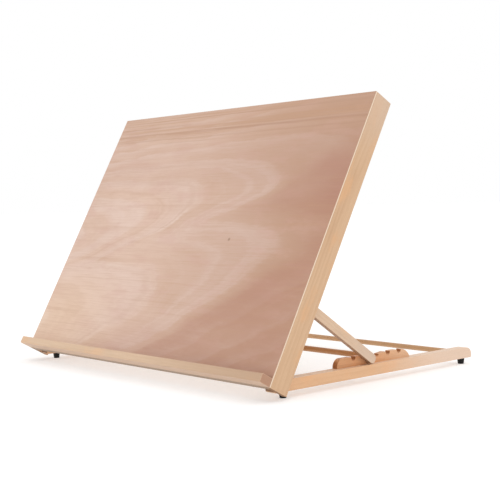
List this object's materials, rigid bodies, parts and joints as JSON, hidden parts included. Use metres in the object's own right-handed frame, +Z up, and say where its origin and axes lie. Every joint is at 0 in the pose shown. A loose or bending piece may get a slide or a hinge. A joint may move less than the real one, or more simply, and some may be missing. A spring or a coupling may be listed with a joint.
{
  "type": "table-top drawing board",
  "caption": "Tilting wooden drawing board with a paper ledge, on a low folding stand whose rear prop bar drops into notched racks.",
  "frame": {"origin": "on the table surface, under the middle of the whole object as it stands", "axes": "+X to the right along the paper ledge, +Y to the back, +Z up"},
  "size_m": [0.65, 0.4967, 0.4465],
  "materials": {
    "plywood": "sanded, thin clear coat",
    "beech": "sanded, thin clear coat",
    "rack_wood": "sanded, thin clear coat",
    "dowel_wood": "sanded, satin",
    "zinc_steel": "zinc plated",
    "foot_rubber": "matt moulded"
  },
  "bodies": {
    "base": {"left_base_rail": "beech", "right_base_rail": "beech", "rear_dowel": "dowel_wood", "left_rack": "rack_wood", "right_rack": "rack_wood", "rack_screws": "zinc_steel", "front_left_foot": "foot_rubber", "front_right_foot": "foot_rubber", "rear_left_foot": "foot_rubber", "rear_right_foot": "foot_rubber", "foot_screws": "zinc_steel"},
    "board": {"drawing_panel": "plywood", "left_side_rail": "beech", "right_side_rail": "beech", "top_rail": "beech", "bottom_rail": "beech", "ledge_strip": "beech", "ledge_screws": "zinc_steel", "frame_dowels": "dowel_wood", "base_pivot_screws": "zinc_steel", "base_pivot_washers": "zinc_steel", "arm_pivot_screws": "zinc_steel", "arm_pivot_washers": "zinc_steel"},
    "prop": {"left_prop_arm": "beech", "right_prop_arm": "beech", "notch_bar": "dowel_wood"}
  },
  "joints": [
    {"name": "board_tilt", "type": "hinge", "parent": "base", "child": "board", "pos_m": [0, -0.1997, 0.019], "axis": [1, 0, 0], "range_deg": [-60.9, 0]},
    {"name": "prop_swing", "type": "hinge", "parent": "board", "child": "prop", "pos_m": [0, -0.15336, 0.13859], "axis": [1, 0, 0], "range_deg": [0, 95]}
  ],
  "couplings": [
    {"joint": "prop_swing", "follows": "board_tilt", "ratio": -1.5585}
  ]
}
